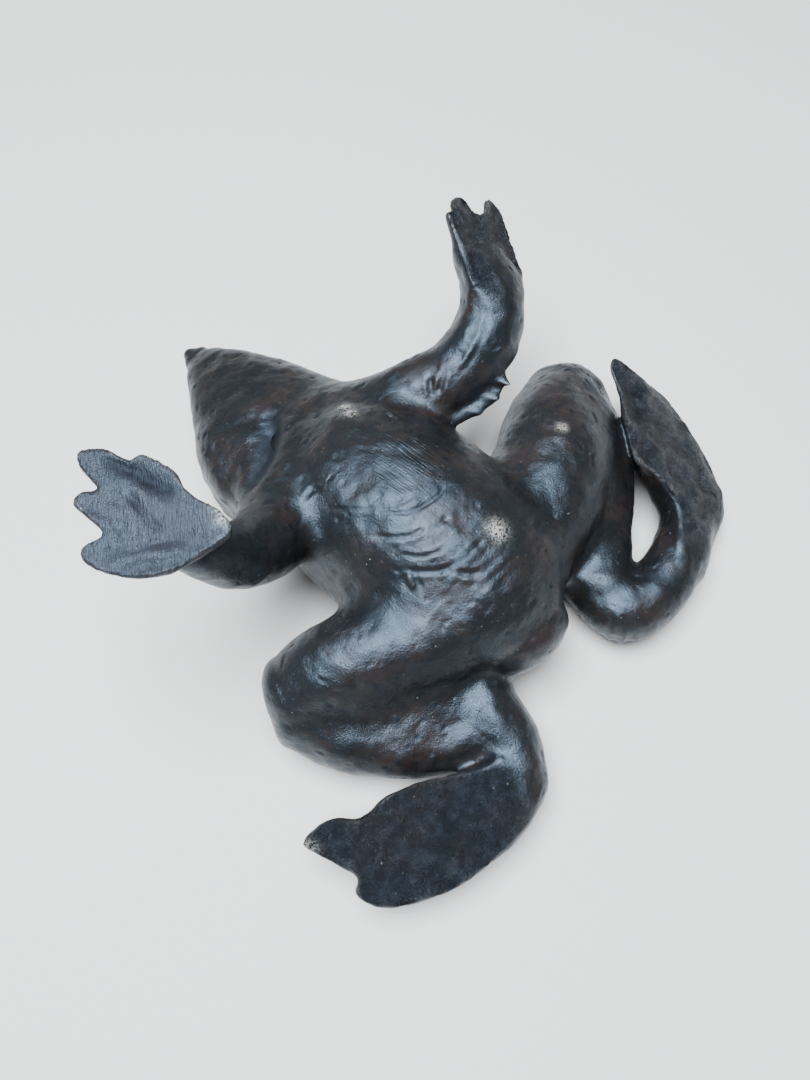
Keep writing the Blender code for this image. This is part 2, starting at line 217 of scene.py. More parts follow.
# How softly shapes run together, in mm; "sole" is how softly a sole's plane clips the ankle.
BLENDS = {"head": 2.6, "eye": 0.8, "arm": 3.4, "thigh": 4.0, "calf": 3.0, "heel": 3.4,
          "ledge": 0.9, "sole": 1.4}
WRIST_BLEND = {"left": 3.6, "right": 2.0}
KNEE_BLEND = {"left": 5.0, "right": 3.6}
ANKLE_BLEND = {"left": 1.7, "right": 2.6}
# How far a sweep's domed ends reach past its first and last stations, in mm.
CAPS = {"torso": (4.0, 4.6), "head": (3.0, 2.2), "arm": (3.0, 2.0), "thigh": (3.0, 4.4),
        "shank": (3.4, 3.6), "tarsus": (2.0, 3.0), "wrist": (1.5, 3.0), "calf": (3.0, 3.0),
        "ledge": (1.6, 1.6)}
# Squareness of a section: 2 is an ellipse.
TORSO_POWER = 2.15
HEAD_POWER = 2.6

# Round lumps joined to the casting: centre, radius, and how softly each one runs in.
LUMPS = (
    ((-38.4, 0.8, 9.4), 5.4, 3.6),
    ((2.6, -52.5, 11.9), 1.4, 0.8),
)

# Thin ledges of metal that leaked between the mould's halves: stations as for a limb.
LEDGES = (
    (
        (-23.2, -4.8, 26.2, 2.1, 0.6),
        (-21.2, -4.6, 24.9, 2.7, 0.7),
        (-18.6, -4.9, 23.9, 2.4, 0.9),
        (-15.8, -5.4, 23.2, 2.0, 1.0),
        (-13.3, -6.6, 22.6, 1.6, 1.2),
    ),
    ((-23.0, -4.4, 26.3, 1.0, 0.6), (-23.1, -3.0, 26.5, 0.6, 0.4)),
    ((-20.4, -4.0, 25.0, 1.0, 0.6), (-20.6, -3.1, 25.1, 0.8, 0.5)),
    ((-17.2, -4.4, 23.8, 1.0, 0.6), (-17.4, -3.6, 23.9, 0.8, 0.5)),
)
# Metal that fills the fold between the right thigh and shank, sloping from one to the other.
CALF_FILL = (
    (29.0, 9.0, 8.8, 5.0, 6.0),
    (25.8, 13.8, 8.6, 6.0, 6.4),
    (21.0, 18.6, 8.4, 6.2, 6.4),
    (15.6, 22.0, 8.2, 5.8, 6.2),
    (12.0, 24.0, 8.0, 4.6, 5.8),
)
# Metal that fills the corner between the left palm's heel and the forearm.
WRIST_FILL = (
    (-33.0, -15.0, 31.8, 3.6, 2.0),
    (-31.0, -12.6, 31.0, 4.2, 3.2),
    (-29.0, -11.0, 29.8, 4.4, 4.0),
    (-26.1, -9.6, 27.8, 4.8, 4.6),
)


def unit(vector):
    vector = np.asarray(vector, float)
    return vector / np.linalg.norm(vector)


def spline(rows, count):
    """Catmull-Rom curve through the rows, sampled evenly between them."""
    rows = np.asarray(rows, float)
    last = len(rows) - 1
    padded = np.vstack([2.0 * rows[0] - rows[1], rows, 2.0 * rows[last] - rows[last - 1]])
    place = np.linspace(0.0, last, count)
    low = np.minimum(place.astype(int), last - 1)
    t = (place - low)[:, None]
    a, b, c, d = (padded[low + shift] for shift in range(4))
    return 0.5 * (2.0 * b + (c - a) * t + (2.0 * a - 5.0 * b + 4.0 * c - d) * t ** 2
                  + (3.0 * b - a - 3.0 * c + d) * t ** 3)


def smooth_min(a, b, k):
    h = np.clip(k - np.abs(a - b), 0.0, None) / k
    return np.minimum(a, b) - h * h * k * 0.25


def smooth_max(a, b, k):
    return -smooth_min(-a, -b, k)


class Sweep:
    """A limb or trunk: rings of a rounded section along a curve, with domed ends."""

    SAMPLES = 49

    def __init__(self, stations, caps, power=2.0, up=UP):
        rows = spline(stations, self.SAMPLES)
        self.centre = rows[:, :3]
        sizes = rows[:, 3:]
        self.width, self.rise, self.depth = sizes[:, 0], sizes[:, 1], sizes[:, -1]
        self.caps = caps
        self.power = power
        steps = np.gradient(self.centre, axis=0)
        self.step = np.linalg.norm(steps, axis=1)
        self.tangent = steps / self.step[:, None]
        side = np.cross(self.tangent, np.asarray(up, float))
        self.side = side / np.linalg.norm(side, axis=1)[:, None]
        self.up = np.cross(self.side, self.tangent)
        reach = sizes.max() + max(caps) / 2.0
        self.low = self.centre.min(0) - reach
        self.high = self.centre.max(0) + reach

    def local(self, points):
        """Offsets sideways, upwards and past an end, and how to mix values there."""
        near = np.empty(len(points), int)
        level = (self.centre ** 2).sum(1)
        for start in range(0, len(points), CHUNK):
            part = points[start:start + CHUNK]
            near[start:start + CHUNK] = (level - 2.0 * part @ self.centre.T).argmin(1)
        offset = points - self.centre[near]
        ahead = (offset * self.tangent[near]).sum(1) / self.step[near]
        place = np.clip(near + ahead, 0.0, self.SAMPLES - 1.0)
        low = np.minimum(place.astype(int), self.SAMPLES - 2)
        t = place - low

        def mix(values):
            share = t[:, None] if values.ndim == 2 else t
            return values[low] * (1.0 - share) + values[low + 1] * share

        offset = points - mix(self.centre)
        sideways = (offset * mix(self.side)).sum(1)
        upwards = (offset * mix(self.up)).sum(1)
        ended = (place <= 0.0) | (place >= self.SAMPLES - 1.0)
        past = np.where(ended, (offset * mix(self.tangent)).sum(1), 0.0)
        return sideways, upwards, past, mix

    def __call__(self, points):
        sideways, upwards, past, mix = self.local(points)
        width = mix(self.width)
        height = np.where(upwards > 0.0, mix(self.rise), mix(self.depth))
        cap = np.where(past < 0.0, *self.caps)
        p = self.power
        terms = [np.abs(sideways) / width, np.abs(upwards) / height, np.abs(past) / cap]
        radii = [width, height, cap]
        level = sum(term ** p for term in terms) ** (1.0 / p) + SMALL
        slope = sum((term ** (p - 1.0) / radius) ** 2 for term, radius in zip(terms, radii))
        slope = np.sqrt(slope) * level ** (1.0 - p)
        return (level - 1.0) / np.maximum(slope, LEAST_SLOPE)


class Ball:
    """A round lump."""

    def __init__(self, centre, radius):
        self.centre = np.asarray(centre, float)
        self.radius = radius
        self.low = self.centre - radius
        self.high = self.centre + radius

    def __call__(self, points):
        return np.linalg.norm(points - self.centre, axis=1) - self.radius


class Blade:
    """A flat-soled hand or foot: a rounded outline, a flat sole and a domed back."""

    # How far in the back swells, the share of thickness that the toes lose, and the back's slope.
    DOME = 3.0
    THINNING = 0.5
    BACK_SLOPE = 0.8
    # The raised rim of the sole: height and width.
    RIM = 0.25
    RIM_WIDTH = 0.8
    # Points of the fine outline for each given one, and the slack of the bounding box.
    FINENESS = 4
    SLACK = 0.5
    # A steeper sole than this leans its walls no further.
    LEAST_RISE = 0.5
    # How many bend lengths behind the heel the bend goes on.
    BEND_REACH = 2.0

    def __init__(self, outline, heel, toe, normal, thickness, side, bend=(0.0, 0.0),
                 rounding=0.7, edge=1.3, upright=0.0, bevel=(0.0, 0.0)):
        self.heel = np.asarray(heel, float)
        self.normal = unit(normal)
        along = np.asarray(toe, float) - self.heel
        self.along = unit(along - self.normal * (along @ self.normal))
        self.across = np.cross(self.normal, self.along) * side
        closed = list(outline[-2:]) + list(outline) + list(outline[:2])
        fine = spline(closed, (len(closed) - 1) * self.FINENESS + 1)
        self.outline = fine[self.FINENESS:-2 * self.FINENESS]
        self.thickness = thickness
        self.reach = max(outline)[0]
        self.bend = bend
        self.rounding = rounding
        self.edge = edge
        self.bevel = bevel
        lean = upright / max(self.normal[2], self.LEAST_RISE)
        self.lean = (self.along[2] * lean, self.across[2] * lean)
        corners = [self.heel + self.along * a + self.across * b - self.normal * c
                   for a, b in outline for c in (0.0, thickness)]
        self.low = np.min(corners, axis=0) - self.SLACK
        self.high = np.max(corners, axis=0) + self.SLACK

    def local(self, points):
        """Offsets from the heel: along the sole, across it, and down into the metal."""
        offset = points - self.heel
        return offset @ self.along, offset @ self.across, -(offset @ self.normal)

    def edge_distance(self, a, b):
        """Signed distance to the outline in the sole's plane, negative inside."""
        best = np.full(len(a), FAR)
        inside = np.zeros(len(a), bool)
        start = self.outline
        end = np.roll(start, -1, axis=0)
        for (ax, ay), (bx, by) in zip(start, end):
            ex, ey = bx - ax, by - ay
            wx, wy = a - ax, b - ay
            t = np.clip((wx * ex + wy * ey) / (ex * ex + ey * ey + TINY), 0.0, 1.0)
            best = np.minimum(best, (wx - ex * t) ** 2 + (wy - ey * t) ** 2)
            crosses = (ay > b) != (by > b)
            beyond = ex * (b - ay) / (ey if abs(ey) > TINY else TINY) + ax
            inside ^= crosses & (a < beyond)
        return np.where(inside, -1.0, 1.0) * np.sqrt(best)

    def sole_drop(self, a, b, inward):
        """How far the sole lies below its plane: by the bend at the heel, and by the bevel."""
        length, drop = self.bend
        fall = np.clip(1.0 - a / length, 0.0, self.BEND_REACH) ** 2 * drop if length else 0.0
        width, depth = self.bevel
        if width:
            outer = np.clip((b - width) / width, 0.0, 1.0)
            fall = fall + outer * depth * np.clip(1.0 - inward / width, 0.0, 1.0)
        return fall

    def __call__(self, points):
        a, b, c = self.local(points)
        edge = self.edge_distance(a + self.lean[0] * c, b + self.lean[1] * c)
        inward = np.clip(-edge, 0.0, None)
        fade = 1.0 - self.THINNING * np.clip(a / self.reach, 0.0, 1.0)
        full = self.edge + (self.thickness - self.edge) * (1.0 - np.exp(-inward / self.DOME))
        rim = self.RIM * np.exp(-(edge / self.RIM_WIDTH) ** 2)
        sole = -c + self.sole_drop(a, b, inward) - rim
        back = (c - full * fade) * self.BACK_SLOPE
        return smooth_max(edge, smooth_max(sole, back, self.rounding), self.rounding)


class Blend:
    """Shapes whose metal runs together, clipped flat by the sole's plane where there is one."""

    def __init__(self, shapes, k, blade=None):
        self.shapes = shapes
        self.k = k
        self.blade = blade
        self.low = np.min([shape.low for shape in shapes], axis=0)
        self.high = np.max([shape.high for shape in shapes], axis=0)

    def __call__(self, points):
        value = self.shapes[0](points)
        for shape in self.shapes[1:]:
            value = smooth_min(value, shape(points), self.k)
        if self.blade is not None:
            height = -self.blade.local(points)[2]
            value = smooth_max(value, height - self.blade.RIM, BLENDS["sole"])
        return value


def single_shapes():
    """Every single shape of the body, by name."""
    shapes = {name: Ball(centre, EYE_RADIUS) for name, centre in EYES.items()}
    shapes["torso"] = Sweep(TORSO, CAPS["torso"], power=TORSO_POWER)
    shapes["head"] = Sweep(HEAD, CAPS["head"], power=HEAD_POWER)
    shapes.update((name, Blade(**blade)) for name, blade in BLADES.items())
    for name, stations in LIMBS.items():
        side, part = name.split("_")
        up = shapes[side + "_hand"].normal if part == "arm" else UP
        shapes[name] = Sweep(stations, CAPS[part], up=up)
    return shapes


def limb_blends(shapes, side):
    """One side's limbs in the order in which they join the body, each with its blend radius."""
    hand, foot = shapes[side + "_hand"], shapes[side + "_foot"]
    metal = [shapes[side + "_arm"], hand]
    if side == "left":
        metal.insert(1, Sweep(WRIST_FILL, CAPS["wrist"], up=hand.normal))
    arm = Blend(metal, WRIST_BLEND[side])
    ankle = Blend([shapes[side + "_tarsus"], foot], BLENDS["heel"], blade=foot)
    blends = [(arm, BLENDS["arm"]), (shapes[side + "_thigh"], BLENDS["thigh"])]
    if side == "right":
        blends.append((Sweep(CALF_FILL, CAPS["calf"]), BLENDS["calf"]))
    return blends + [(shapes[side + "_shank"], KNEE_BLEND[side]), (ankle, ANKLE_BLEND[side])]


def body_blends(shapes):
    """All the shapes in the order in which they join, each with its blend radius."""
    blends = [(shapes["torso"], 0.0), (shapes["head"], BLENDS["head"])]
    blends += [(shapes[name], BLENDS["eye"]) for name in EYES]
    blends += limb_blends(shapes, "left") + limb_blends(shapes, "right")
    blends += [(Ball(centre, radius), k) for centre, radius, k in LUMPS]
    return blends + [(Sweep(stations, CAPS["ledge"]), BLENDS["ledge"]) for stations in LEDGES]


# ---- From the distance field to a mesh ----

CORNERS = [(i, j, k) for i in (0, 1) for j in (0, 1) for k in (0, 1)]


def sampled(shape, axes):
    """The shape's distance on a grid: exact near its surface, and coarse elsewhere."""
    rough = [np.append(axis[::STRIDE], axis[-1]) for axis in axes]
    sizes = [len(axis) for axis in rough]
    points = np.stack(np.meshgrid(*rough, indexing="ij"), axis=-1).reshape(-1, 3)
    coarse = shape(points).reshape(sizes)
    nearest = [np.round(np.arange(len(axis)) / STRIDE).astype(int) for axis in axes]
    value = coarse[np.ix_(*nearest)]
    slack = STRIDE * CELL
    band = np.nonzero((value > -SKIN_BAND * slack) & (value < MARGIN + slack))
    points = np.stack([axis[part] for axis, part in zip(axes, band)], axis=1)
    value[band] = shape(points)
    return value


def grid_field(blends):
    """The blended field on a grid, worked out only near each shape."""
    low = np.min([shape.low for shape, k in blends], axis=0) - GRID_PAD * CELL
    high = np.max([shape.high for shape, k in blends], axis=0) + GRID_PAD * CELL
    counts = np.ceil((high - low) / CELL).astype(int) + 1
    axes = [low[axis] + CELL * np.arange(counts[axis]) for axis in range(3)]
    field = np.full(counts, MARGIN)
    for shape, k in blends:
        window = []
        for axis, start, end in zip(axes, shape.low - MARGIN, shape.high + MARGIN):
            near = np.nonzero((axis > start) & (axis < end))[0]
            window.append(slice(near[0], near[-1] + 1))
        window = tuple(window)
        value = sampled(shape, [axis[part] for axis, part in zip(axes, window)])
        held = field[window]
        field[window] = smooth_min(held, value, k) if k else np.minimum(held, value)
    return field, low


def mend(field):
    """Fill the places where metal meets only along a line and the skin would pinch."""
    for step in range(MEND_ROUNDS):
        for axis in range(3):
            sheet = np.moveaxis(field, axis, 0)
            a, b = sheet[:, :-1, :-1], sheet[:, 1:, :-1]
            c, d = sheet[:, :-1, 1:], sheet[:, 1:, 1:]
            for one, two, gap, other in ((a, d, b, c), (b, c, a, d)):
                pinched = (one < 0.0) & (two < 0.0) & (gap >= 0.0) & (other >= 0.0)
                nearer = gap <= other
                gap[pinched & nearer] = -SLIVER
                other[pinched & ~nearer] = -SLIVER


def corner(values, offset):
    """The grid's values at one corner of every cell."""
    i, j, k = offset
    nx, ny, nz = np.array(values.shape) - 1
    return values[i:i + nx, j:j + ny, k:k + nz]


def between(values, cell, t):
    """Values of a repeating grid at the places t, from 0 to 1, within its cells."""
    total = np.zeros(len(t))
    for offset in CORNERS:
        share = np.ones(len(t))
        for axis, step in enumerate(offset):
            share = share * (t[:, axis] if step else 1.0 - t[:, axis])
        x, y, z = ((cell + offset) % values.shape).T
        total += share * values[x, y, z]
    return total


def mean_crossing(field, active):
    """Within each active cell, the mean of the places where the surface crosses its edges."""
    total = np.zeros((len(active[0]), 3))
    weight = np.zeros(len(active[0]))
    for near in CORNERS:
        for axis in range(3):
            if near[axis]:
                continue
            far = tuple(1 if other == axis else near[other] for other in range(3))
            va = corner(field, near)[active]
            vb = corner(field, far)[active]
            cut = (va < 0.0) != (vb < 0.0)
            t = np.where(cut, va / np.where(cut, va - vb, 1.0), 0.0)
            point = np.array(near, float)[None] + t[:, None] * np.eye(3)[axis][None]
            total += point * cut[:, None]
            weight += cut
    return total / weight[:, None]


def net_quads(inside, index):
    """A quad round each grid edge that the surface crosses, facing out of the metal."""
    quads = []
    for axis in range(3):
        one, two = (axis + 1) % 3, (axis + 2) % 3
        places = np.stack(np.nonzero(np.diff(inside, axis=axis)), axis=1)
        places = places[(places[:, one] > 0) & (places[:, two] > 0)]
        outward = inside[tuple(places.T)]
        ring = []
        for shift_one, shift_two in ((0, 0), (1, 0), (1, 1), (0, 1)):
            cell = places.copy()
            cell[:, one] -= shift_one
            cell[:, two] -= shift_two
            ring.append(index[tuple(cell.T)])
        quad = np.stack(ring, axis=1)
        quads.append(np.where(outward[:, None], quad, quad[:, ::-1]))
    return np.vstack(quads)


def surface_net(field, low):
    """Vertices and quads of the zero level of a grid, by the surface nets method."""
    inside = field < 0.0
    count = sum(corner(inside, offset).astype(int) for offset in CORNERS)
    active = np.nonzero((count > 0) & (count < len(CORNERS)))
    index = np.full(count.shape, -1, int)
    index[active] = np.arange(len(active[0]))
    vertices = low + CELL * (np.stack(active, axis=1) + mean_crossing(field, active))
    return vertices, net_quads(inside, index)


def vertex_normals(vertices, quads):
    """Mean outward direction at each vertex, weighted by the quads' areas."""
    one = vertices[quads[:, 2]] - vertices[quads[:, 0]]
    two = vertices[quads[:, 3]] - vertices[quads[:, 1]]
    face = np.cross(one, two)
    normals = np.zeros_like(vertices)
    for column in range(4):
        np.add.at(normals, quads[:, column], face)
    length = np.linalg.norm(normals, axis=1)
    return normals / np.maximum(length, TINY)[:, None]


def neighbour_mean(values, quads):
    """Mean of the values over each vertex's edge neighbours."""
    total = np.zeros_like(values)
    count = np.zeros(len(values))
    for column in range(4):
        a, b = quads[:, column], quads[:, (column + 1) % 4]
        for here, there in ((a, b), (b, a)):
            np.add.at(total, here, values[there])
            np.add.at(count, here, 1.0)
    return total / (count[:, None] if values.ndim == 2 else count)


def relax(vertices, quads):
    """Even out the net with smoothing steps that nearly keep the volume."""
    for share in RELAX_SHARES * RELAX_ROUNDS:
        vertices = vertices + share * (neighbour_mean(vertices, quads) - vertices)
    return vertices


# ---- Modelled details and tool marks ----

# Grooves worked across the belly, seen from above: waypoints, width, depth.
BELLY_GROOVES = (
    (((11.5, -6.0), (9.0, -2.0), (5.7, 1.4), (1.4, 3.1)), 0.25, 0.12),
    (((7.8, 0.5), (4.8, 3.8), (0.8, 4.9), (-1.2, 4.6)), 0.28, 0.19),
    (((10.4, 2.1), (8.4, 4.8), (6.7, 6.3), (5.1, 6.7)), 0.28, 0.18),
    (((3.8, 7.8), (2.0, 8.0)), 0.26, 0.14),
    (((9.5, 6.8), (8.1, 8.9), (6.6, 10.0), (5.2, 10.6)), 0.26, 0.16),
    (((10.6, 8.4), (9.1, 10.5), (6.9, 12.5), (5.0, 13.0)), 0.32, 0.22),
    (((5.9, 13.9), (4.9, 15.4), (3.6, 16.2)), 0.37, 0.27),
    (((12.6, -9.7), (11.0, -9.9), (10.3, -8.8)), 0.33, 0.22),
    (((8.6, -8.8), (7.7, -8.7)), 0.28, 0.16),
)

# Deeper creases, in space: waypoints, width, depth. A negative depth is a raised seam.
CREASES = (
    (((17.2, -18.1, 24.0), (13.3, -19.8, 24.0), (9.0, -22.5, 23.2), (5.1, -26.1, 22.2)),
     1.8, 1.1),
    (((-27.0, -11.6, 33.6), (-24.4, -9.4, 32.6), (-21.6, -8.4, 31.2), (-18.0, -8.2, 29.2)),
     0.42, -0.34),
    (((-18.8, -10.6, 29.6), (-16.2, -9.2, 28.6), (-13.6, -8.2, 27.4)), 0.45, 0.36),
    (((-21.0, -9.8, 30.6), (-18.6, -7.8, 29.2)), 0.40, 0.34),
    (((-14.6, -10.6, 28.6), (-13.0, -8.6, 27.2)), 0.45, 0.34),
    (((-6.0, -12.2, 27.8), (-5.9, -8.5, 28.6)), 0.30, -0.24),
    (((10.6, 9.0, 26.9), (11.2, 10.8, 25.8)), 0.40, -0.36),
    (((40.6, -11.4, 46.6), (37.6, -9.6, 46.4), (34.6, -7.9, 46.3), (31.0, -5.0, 46.2)),
     0.8, -0.45),
    (((39.4, -13.0, 46.8), (36.2, -10.4, 46.6), (33.2, -8.8, 46.4)), 0.45, 0.30),
    (((31.6, -22.0, 47.6), (30.2, -18.2, 47.2), (29.3, -15.0, 46.8), (28.3, -12.2, 46.4)),
     0.9, 0.50),
    (((32.0, -16.6, 47.0), (32.8, -12.6, 46.8), (32.6, -9.9, 46.4)), 0.5, 0.32),
    (((37.2, -18.2, 47.6), (35.4, -15.0, 47.2)), 0.5, 0.28),
)

# Small round marks: centre, radius, height. A negative height is a pit.
SPOTS = (
    ((-2.6, -17.0, 26.5), 0.9, 0.40),
    ((-1.9, -15.0, 27.7), 0.8, 0.36),
    ((-4.2, -13.0, 28.0), 0.5, 0.30),
    ((-2.6, 13.8, 28.0), 1.3, 0.30),
    ((2.0, 8.0, 30.0), 0.5, -0.24),
    ((17.8, 34.3, 12.0), 1.0, 0.35),
    ((19.9, 30.4, 12.9), 1.2, 0.40),
    ((23.8, 28.3, 12.6), 1.4, 0.45),
    ((28.3, 24.6, 12.7), 1.5, 0.40),
)

# Where the dark skin is worn to pale metal: centre, radius.
WORN = (
    ((-2.6, 13.8, 28.0), 1.5),
    ((-20.3, 16.2, 20.4), 0.9),
    ((-25.0, 8.1, 23.3), 0.8),
    ((-2.6, -17.0, 26.5), 1.0),
    ((-1.9, -15.0, 27.7), 0.9),
    ((25.6, -6.6, 45.9), 1.4),
    ((45.6, 23.4, 11.0), 1.3),
    ((-43.4, 12.4, 11.0), 1.0),
)

# The mouth's line: how far inside and below the head's widest level, and its width and depth.
MOUTH_INSET = 0.5
MOUTH_DROP = 2.4
MOUTH_GROOVE = (0.55, 0.60)

# A groove: points for each waypoint, how soon it deepens, how deep its ends are, and where its lip
# lies and how high, by its width and depth.
GROOVE_FINENESS = 4
GROOVE_SLOPE = 5.0
GROOVE_END = 0.25
LIP_PLACE = 2.1
LIP_HEIGHT = 0.30

# Noises of the cast surface: the size of the bumps in mm, and the seed.
WAVE_NOISE = (3.2, 6)
GRAIN_NOISE = (1.2, 4)
PIT_NOISE = (0.95, 5)
# Their heights in mm: all over; the waves on the filed palm and the other soles; the soles' grain;
# and the pits, with the level above which the noise makes one.
CAST_BUMPS = ((0.26, (5.2, 1)), (0.15, (2.4, 2)), (0.06, (1.1, 3)))
FILED_WAVES = 0.14
SOLE_WAVES = 0.50
SOLE_GRAIN = 0.10
PIT_LEVEL = 0.58
BODY_PITTING = 0.45
SOLE_PITTING = 0.30
# Cells after which the noise repeats.
NOISE_PERIOD = 32

# The right palm was filed flatter and brighter: middle, reach, and share over which it fades.
FILED_PALM = (32.0, -13.0, 46.5)
FILED_REACH = 18.0
FILED_FADE = 0.25
# The scratched patch on the belly: middle, radius and fullness.
SCRATCHED_CENTRE = (0.0, -3.5)
SCRATCHED_RADIUS = 6.5
SCRATCHED_FULL = 1.4

# Limits and the widths over which they fade in: the belly's height; a sole's facing, distance off
# its plane (negated), distance within its outline, and distance from its heel.
BELLY_LEVEL = (17.0, 4.0)
SOLE_FACING = (0.80, 0.12)
SOLE_DEPTH = (-1.4, 0.6)
SOLE_EDGE = (-0.6, 0.8)
SOLE_HEEL = (-0.5, 2.5)

# How dark the painted shade in a groove and a pit is, by their depth.
GROOVE_SHADE = 3.0
PIT_SHADE = 2.0
# Convexity is evened out this often and then multiplied by this.
CONVEXITY_ROUNDS = 3
CONVEXITY_GAIN = 1.6


def lattice_noise(points, size, seed):
    """Smooth noise from -1 to 1 whose bumps are about `size` mm across."""
    table = np.random.default_rng(seed).uniform(-1.0, 1.0, (NOISE_PERIOD,) * 3)
    place = points / size
    cell = np.floor(place).astype(int)
    t = place - cell
    return between(table, cell, t * t * (3.0 - 2.0 * t))


def above(values, limit, fade):
    """From 0 at the limit to 1 at a fade's width above it."""
    return np.clip((values - limit) / fade, 0.0, 1.0)


def path_distance(points, path):
    """Distance to a line through the waypoints, and how far along it the nearest place lies."""
    path = np.asarray(path, float)
    best = np.full(len(points), FAR)
    along = np.zeros(len(points))
    for index, (a, b) in enumerate(zip(path[:-1], path[1:])):
        step = b - a
        t = np.clip((points - a) @ step / (step @ step), 0.0, 1.0)
        gap = ((points - a - t[:, None] * step) ** 2).sum(1)
        closer = gap < best
        best = np.where(closer, gap, best)
        along = np.where(closer, index + t, along)
    return np.sqrt(best), along / (len(path) - 1)


def furrow(points, path, width, depth):
    """A groove with slightly thrown-up sides, shallower towards both ends."""
    smooth = spline(path, GROOVE_FINENESS * len(path)) if len(path) > 2 else path
    distance, along = path_distance(points, smooth)
    from_end = np.minimum(along, 1.0 - along)
    fade = np.clip(GROOVE_SLOPE * from_end + GROOVE_END, 0.0, 1.0)
    cut = np.exp(-(distance / width) ** 2)
    lip = np.exp(-((distance - LIP_PLACE * width) / width) ** 2)
    return depth * fade * (LIP_HEIGHT * lip - cut)


def dots(points, marks):
    """Sum of round bumps, each one given by centre, radius and height."""
    total = np.zeros(len(points))
    for centre, radius, height in marks:
        gap = ((points - centre) ** 2).sum(1)
        total += height * np.exp(-gap / radius ** 2)
    return total


def sole_mask(vertices, normals, shapes):
    """How far each vertex belongs to the flat sole of a hand or foot."""
    sole = np.zeros(len(vertices))
    for name in BLADES:
        blade = shapes[name]
        a, b, c = blade.local(vertices)
        flat = above(normals @ blade.normal, *SOLE_FACING)
        near = above(-np.abs(c), *SOLE_DEPTH)
        within = above(-blade.edge_distance(a, b), *SOLE_EDGE)
        sole = np.maximum(sole, flat * near * within * above(a, *SOLE_HEEL))
    return sole


def mouth_lines():
    """The line between the jaws, just below the widest level of each side of the head."""
    rows = np.asarray(HEAD, float)[1:]
    sides = []
    for sign in (-1.0, 1.0):
        across = rows[:, 0] + sign * (rows[:, 3] - MOUTH_INSET)
        sides.append(np.stack([across, rows[:, 1], rows[:, 2] - MOUTH_DROP], axis=1))
    return sides


def cast_relief(vertices, sole, filed, pits):
    """Height of the uneven casting at each vertex, in mm."""
    skin = sum(height * lattice_noise(vertices, *noise) for height, noise in CAST_BUMPS)
    move = (1.0 - sole) * (skin - BODY_PITTING * pits)
    waves = filed * FILED_WAVES + (1.0 - filed) * SOLE_WAVES
    move += sole * waves * lattice_noise(vertices, *WAVE_NOISE)
    grain = SOLE_GRAIN * lattice_noise(vertices, *GRAIN_NOISE)
    return move + sole * (grain - SOLE_PITTING * pits)


def worked_marks(vertices, on_belly):
    """Height of the grooves, creases and seams at each vertex, in mm."""
    marks = np.zeros(len(vertices))
    for path, width, depth in BELLY_GROOVES:
        marks += on_belly * furrow(vertices[:, :2], path, width, depth)
    for path, width, depth in CREASES:
        marks += furrow(vertices, path, width, depth)
    for path in mouth_lines():
        marks += furrow(vertices, path, *MOUTH_GROOVE)
    return marks


def detail(vertices, normals, shapes):
    """How far each vertex moves along its normal, in mm, and the masks the finish needs."""
    sole = sole_mask(vertices, normals, shapes)
    reach = np.linalg.norm(vertices - FILED_PALM, axis=1) / FILED_REACH
    filed = np.clip(1.0 - reach, 0.0, FILED_FADE) / FILED_FADE
    pits = np.clip(lattice_noise(vertices, *PIT_NOISE) - PIT_LEVEL, 0.0, 1.0)
    on_belly = above(vertices[:, 2], *BELLY_LEVEL) * (normals[:, 2] > 0.0)
    marks = worked_marks(vertices, on_belly)
    move = cast_relief(vertices, sole, filed, pits) + (marks + dots(vertices, SPOTS))
    worn = dots(vertices, [(centre, radius, 1.0) for centre, radius in WORN])
    reach = np.linalg.norm(vertices[:, :2] - SCRATCHED_CENTRE, axis=1) / SCRATCHED_RADIUS
    # Painted shade: grooves and pits are darkened by their depth, and raised marks are not.
    shade = (1.0 - sole) * PIT_SHADE * pits - GROOVE_SHADE * marks
    masks = {
        "filed": sole * filed,
        "coarse": sole * (1.0 - filed),
        "worn": np.clip(worn, 0.0, 1.0),
        "scratched": on_belly * np.clip(SCRATCHED_FULL - reach ** 2, 0.0, 1.0),
        # The mask of painted shade, black in grooves and pits.
        "painted_shade_hollows": np.clip(shade, 0.0, 1.0),
    }
    return move, masks


def convexity(vertices, normals, quads):
    """Positive on outward edges and negative in hollows, from 1 to -1."""
    bulge = -((neighbour_mean(vertices, quads) - vertices) * normals).sum(1)
    for step in range(CONVEXITY_ROUNDS):
        bulge = (bulge + neighbour_mean(bulge, quads)) / 2.0
    return np.clip(bulge / (CELL * CELL) * CONVEXITY_GAIN, -1.0, 1.0)


# ---- One closed piece for each CAD node ----

# How far outside a node's box its faces may lie, and how often the borders are evened out.
LABEL_REACH = 7.0 * MM
LABEL_ROUNDS = 4
# How often and by what share of its error a point is pushed to its depth inside the metal.
PUSH_ROUNDS = 6
PUSH_SHARE = 0.8
# A cap's rings: share of the way from the open border to its middle, and depth in mm.
CAP_RINGS = ((0.02, 0.7), (0.20, 1.0), (0.45, 1.2), (0.72, 1.2))


def face_owner(vertices, quads, names):
    """The index of the CAD node that lies nearest to each face, with the borders evened out."""
    centres = (vertices[quads].mean(1) + PATTERN_SHIFT) * MM
    distance = np.full((len(quads), len(names)), FAR)
    for column, name in enumerate(names):
        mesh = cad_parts[name].data
        tree = BVHTree.FromPolygons([v.co for v in mesh.vertices],
                                    [list(p.vertices) for p in mesh.polygons])
        low, high = (np.array(corner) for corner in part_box(name))
        near = np.all((centres > low - LABEL_REACH) & (centres < high + LABEL_REACH), axis=1)
        for row in np.nonzero(near)[0]:
            found = tree.find_nearest(Vector(centres[row]))
            distance[row, column] = found[3]
    owner = distance.argmin(1)
    for step in range(LABEL_ROUNDS):
        share = np.zeros((len(vertices), len(names)))
        for column in range(4):
            np.add.at(share, (quads[:, column], owner), 1.0)
        owner = share[quads].sum(1).argmax(1)
    return owner


